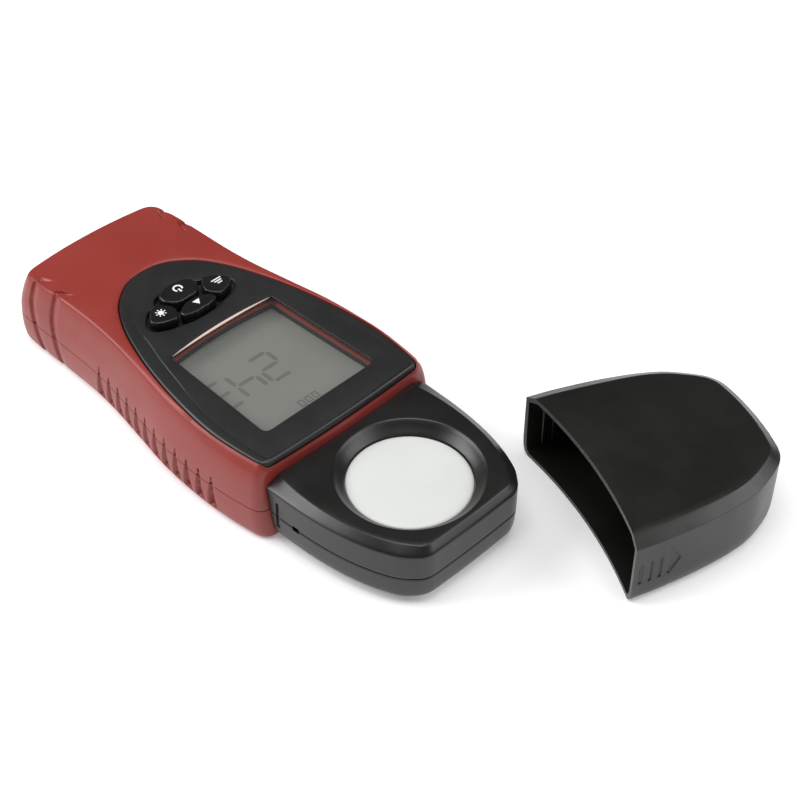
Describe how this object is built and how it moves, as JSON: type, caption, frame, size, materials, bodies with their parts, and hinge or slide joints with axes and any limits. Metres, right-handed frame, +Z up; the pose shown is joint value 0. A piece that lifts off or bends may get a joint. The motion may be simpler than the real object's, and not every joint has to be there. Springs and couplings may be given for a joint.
{
  "type": "handheld light meter",
  "caption": "Handheld light meter with a red waisted housing, a display and four keys, a black sensor head with a white diffuser disc, and a separate shield-shaped protective cap.",
  "frame": {"origin": "on the housing's flat underside, midway along the housing and on its centre line", "axes": "+X along the meter towards the sensor head, +Y across it, +Z up out of the display"},
  "size_m": [0.2331, 0.135, 0.031],
  "materials": {
    "red_plastic": "satin",
    "black_plastic": "fine matte texture",
    "panel_black": "satin",
    "key_black": "satin gloss",
    "diffuser_white": "translucent opal",
    "clear_window": "polished",
    "lcd_glass": "grey-green display",
    "white_plastic": "satin",
    "circuit_board": "solder mask",
    "rubber": "matte",
    "steel": "plated",
    "filter_glass": "polished",
    "wire_red": "satin",
    "wire_black": "satin",
    "cell_sleeve": "printed sleeve"
  },
  "bodies": {
    "meter": {"upper_housing": "red_plastic", "lower_housing": "red_plastic", "faceplate": "panel_black", "display_window": "clear_window", "keypad_membrane": "rubber", "lcd_panel": "lcd_glass", "backlight_panel": "white_plastic", "lcd_frame": "black_plastic", "zebra_strip_rear": "rubber", "zebra_strip_front": "rubber", "main_board": "circuit_board", "controller_chip": "black_plastic", "sensor_connector": "white_plastic", "battery_1": "cell_sleeve", "battery_2": "cell_sleeve", "battery_3": "cell_sleeve", "rear_contacts": "steel", "front_contacts": "steel", "battery_lead_red": "wire_red", "battery_lead_black": "wire_black", "head_upper_shell": "black_plastic", "head_lower_shell": "black_plastic", "diffuser_disc": "diffuser_white", "sensor_board": "circuit_board", "photodiode": "steel", "photopic_filter": "filter_glass", "ribbon_socket": "white_plastic", "sensor_ribbon": "white_plastic", "housing_screw_1": "steel", "housing_screw_2": "steel", "housing_screw_3": "steel", "housing_screw_4": "steel", "head_screw_1": "steel", "head_screw_2": "steel", "board_screw_1": "steel", "board_screw_2": "steel"},
    "power_key_body": {"power_key": "key_black"},
    "hold_key_body": {"hold_key": "key_black"},
    "mode_key_body": {"mode_key": "key_black"},
    "light_key_body": {"light_key": "key_black"},
    "battery_cover_body": {"battery_cover": "red_plastic"},
    "cap_body": {"protective_cap": "black_plastic"}
  },
  "joints": [
    {"name": "power_key_press", "type": "slide", "parent": "meter", "child": "power_key_body", "axis": [0, 0, -1], "range_m": [0, 0.0009], "stiffness_N_per_m": 1500},
    {"name": "hold_key_press", "type": "slide", "parent": "meter", "child": "hold_key_body", "axis": [0, 0, -1], "range_m": [0, 0.0009], "stiffness_N_per_m": 1500},
    {"name": "mode_key_press", "type": "slide", "parent": "meter", "child": "mode_key_body", "axis": [0, 0, -1], "range_m": [0, 0.0009], "stiffness_N_per_m": 1500},
    {"name": "light_key_press", "type": "slide", "parent": "meter", "child": "light_key_body", "axis": [0, 0, -1], "range_m": [0, 0.0009], "stiffness_N_per_m": 1500},
    {"name": "battery_cover_slide", "type": "slide", "parent": "meter", "child": "battery_cover_body", "axis": [-1, 0, 0], "range_m": [0, 0.058]},
    {"name": "cap_slide", "type": "slide", "parent": "meter", "child": "cap_body", "axis": [0.3633, 0.9317, 0], "range_m": [0, 0.055]}
  ]
}
